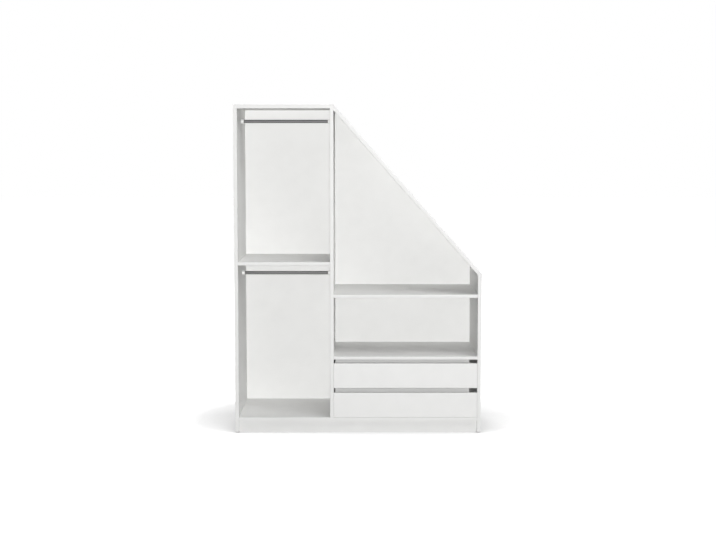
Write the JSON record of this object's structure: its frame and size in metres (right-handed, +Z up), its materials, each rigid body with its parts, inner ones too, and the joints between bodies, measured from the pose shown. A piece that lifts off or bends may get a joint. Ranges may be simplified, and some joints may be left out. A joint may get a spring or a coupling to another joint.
{
  "type": "under-eaves wardrobe",
  "caption": "Open white wardrobe for a room under a roof slope: a tall bay with clothes rails beside a low bay under a sloping panel, with shelves and inset drawers on ball runners.",
  "frame": {"origin": "on the floor, under the middle of the cabinet's overall box", "axes": "+Z up, +X to the right seen from the front, the open front faces -Y"},
  "size_m": [1.5, 0.58, 2],
  "materials": {
    "white_board": "white melamine-faced board with matching edge band",
    "back_board": "thin white melamine-faced board",
    "drawer_board": "white melamine-faced drawer board",
    "white_plastic": "white moulded plastic",
    "grey_tube": "satin grey tube",
    "zinc_steel": "bright zinc-plated steel",
    "cage_steel": "zinc-plated ball retainer"
  },
  "bodies": {
    "carcass": {"left_side_panel": "white_board", "centre_divider": "white_board", "right_side_panel": "white_board", "top_panel": "white_board", "slope_panel": "white_board", "base_panel": "white_board", "front_plinth": "white_board", "rear_plinth": "white_board", "left_shelf": "white_board", "right_upper_shelf": "white_board", "right_lower_shelf": "white_board", "left_back_panel": "back_board", "right_back_panel": "back_board", "upper_clothes_rail": "grey_tube", "lower_clothes_rail": "grey_tube", "upper_left_rail_socket": "white_plastic", "upper_right_rail_socket": "white_plastic", "lower_left_rail_socket": "white_plastic", "lower_right_rail_socket": "white_plastic", "upper_left_socket_screw": "zinc_steel", "upper_right_socket_screw": "zinc_steel", "lower_left_socket_screw": "zinc_steel", "lower_right_socket_screw": "zinc_steel", "front_left_glide": "white_plastic", "front_right_glide": "white_plastic", "rear_left_glide": "white_plastic", "rear_right_glide": "white_plastic", "upper_left_cabinet_runner": "zinc_steel", "upper_right_cabinet_runner": "zinc_steel", "lower_left_cabinet_runner": "zinc_steel", "lower_right_cabinet_runner": "zinc_steel"},
    "upper_drawer": {"upper_drawer_front": "white_board", "upper_drawer_left_side": "drawer_board", "upper_drawer_right_side": "drawer_board", "upper_drawer_back": "drawer_board", "upper_drawer_bottom": "drawer_board", "upper_left_drawer_runner": "zinc_steel", "upper_right_drawer_runner": "zinc_steel"},
    "upper_outer_ball_cages": {"upper_left_outer_ball_cage": "cage_steel", "upper_right_outer_ball_cage": "cage_steel"},
    "upper_middle_runners": {"upper_left_middle_runner": "zinc_steel", "upper_right_middle_runner": "zinc_steel"},
    "upper_inner_ball_cages": {"upper_left_inner_ball_cage": "cage_steel", "upper_right_inner_ball_cage": "cage_steel"},
    "lower_drawer": {"lower_drawer_front": "white_board", "lower_drawer_left_side": "drawer_board", "lower_drawer_right_side": "drawer_board", "lower_drawer_back": "drawer_board", "lower_drawer_bottom": "drawer_board", "lower_left_drawer_runner": "zinc_steel", "lower_right_drawer_runner": "zinc_steel"},
    "lower_outer_ball_cages": {"lower_left_outer_ball_cage": "cage_steel", "lower_right_outer_ball_cage": "cage_steel"},
    "lower_middle_runners": {"lower_left_middle_runner": "zinc_steel", "lower_right_middle_runner": "zinc_steel"},
    "lower_inner_ball_cages": {"lower_left_inner_ball_cage": "cage_steel", "lower_right_inner_ball_cage": "cage_steel"}
  },
  "joints": [
    {"name": "upper_drawer_slide", "type": "slide", "parent": "carcass", "child": "upper_drawer", "axis": [0, -1, 0], "range_m": [0, 0.36]},
    {"name": "upper_outer_cage_slide", "type": "slide", "parent": "carcass", "child": "upper_outer_ball_cages", "axis": [0, -1, 0], "range_m": [0, 0.09]},
    {"name": "upper_middle_runner_slide", "type": "slide", "parent": "carcass", "child": "upper_middle_runners", "axis": [0, -1, 0], "range_m": [0, 0.18]},
    {"name": "upper_inner_cage_slide", "type": "slide", "parent": "carcass", "child": "upper_inner_ball_cages", "axis": [0, -1, 0], "range_m": [0, 0.27]},
    {"name": "lower_drawer_slide", "type": "slide", "parent": "carcass", "child": "lower_drawer", "axis": [0, -1, 0], "range_m": [0, 0.36]},
    {"name": "lower_outer_cage_slide", "type": "slide", "parent": "carcass", "child": "lower_outer_ball_cages", "axis": [0, -1, 0], "range_m": [0, 0.09]},
    {"name": "lower_middle_runner_slide", "type": "slide", "parent": "carcass", "child": "lower_middle_runners", "axis": [0, -1, 0], "range_m": [0, 0.18]},
    {"name": "lower_inner_cage_slide", "type": "slide", "parent": "carcass", "child": "lower_inner_ball_cages", "axis": [0, -1, 0], "range_m": [0, 0.27]}
  ],
  "couplings": [
    {"joint": "upper_outer_cage_slide", "follows": "upper_drawer_slide", "ratio": 0.25},
    {"joint": "upper_middle_runner_slide", "follows": "upper_drawer_slide", "ratio": 0.5},
    {"joint": "upper_inner_cage_slide", "follows": "upper_drawer_slide", "ratio": 0.75},
    {"joint": "lower_outer_cage_slide", "follows": "lower_drawer_slide", "ratio": 0.25},
    {"joint": "lower_middle_runner_slide", "follows": "lower_drawer_slide", "ratio": 0.5},
    {"joint": "lower_inner_cage_slide", "follows": "lower_drawer_slide", "ratio": 0.75}
  ]
}
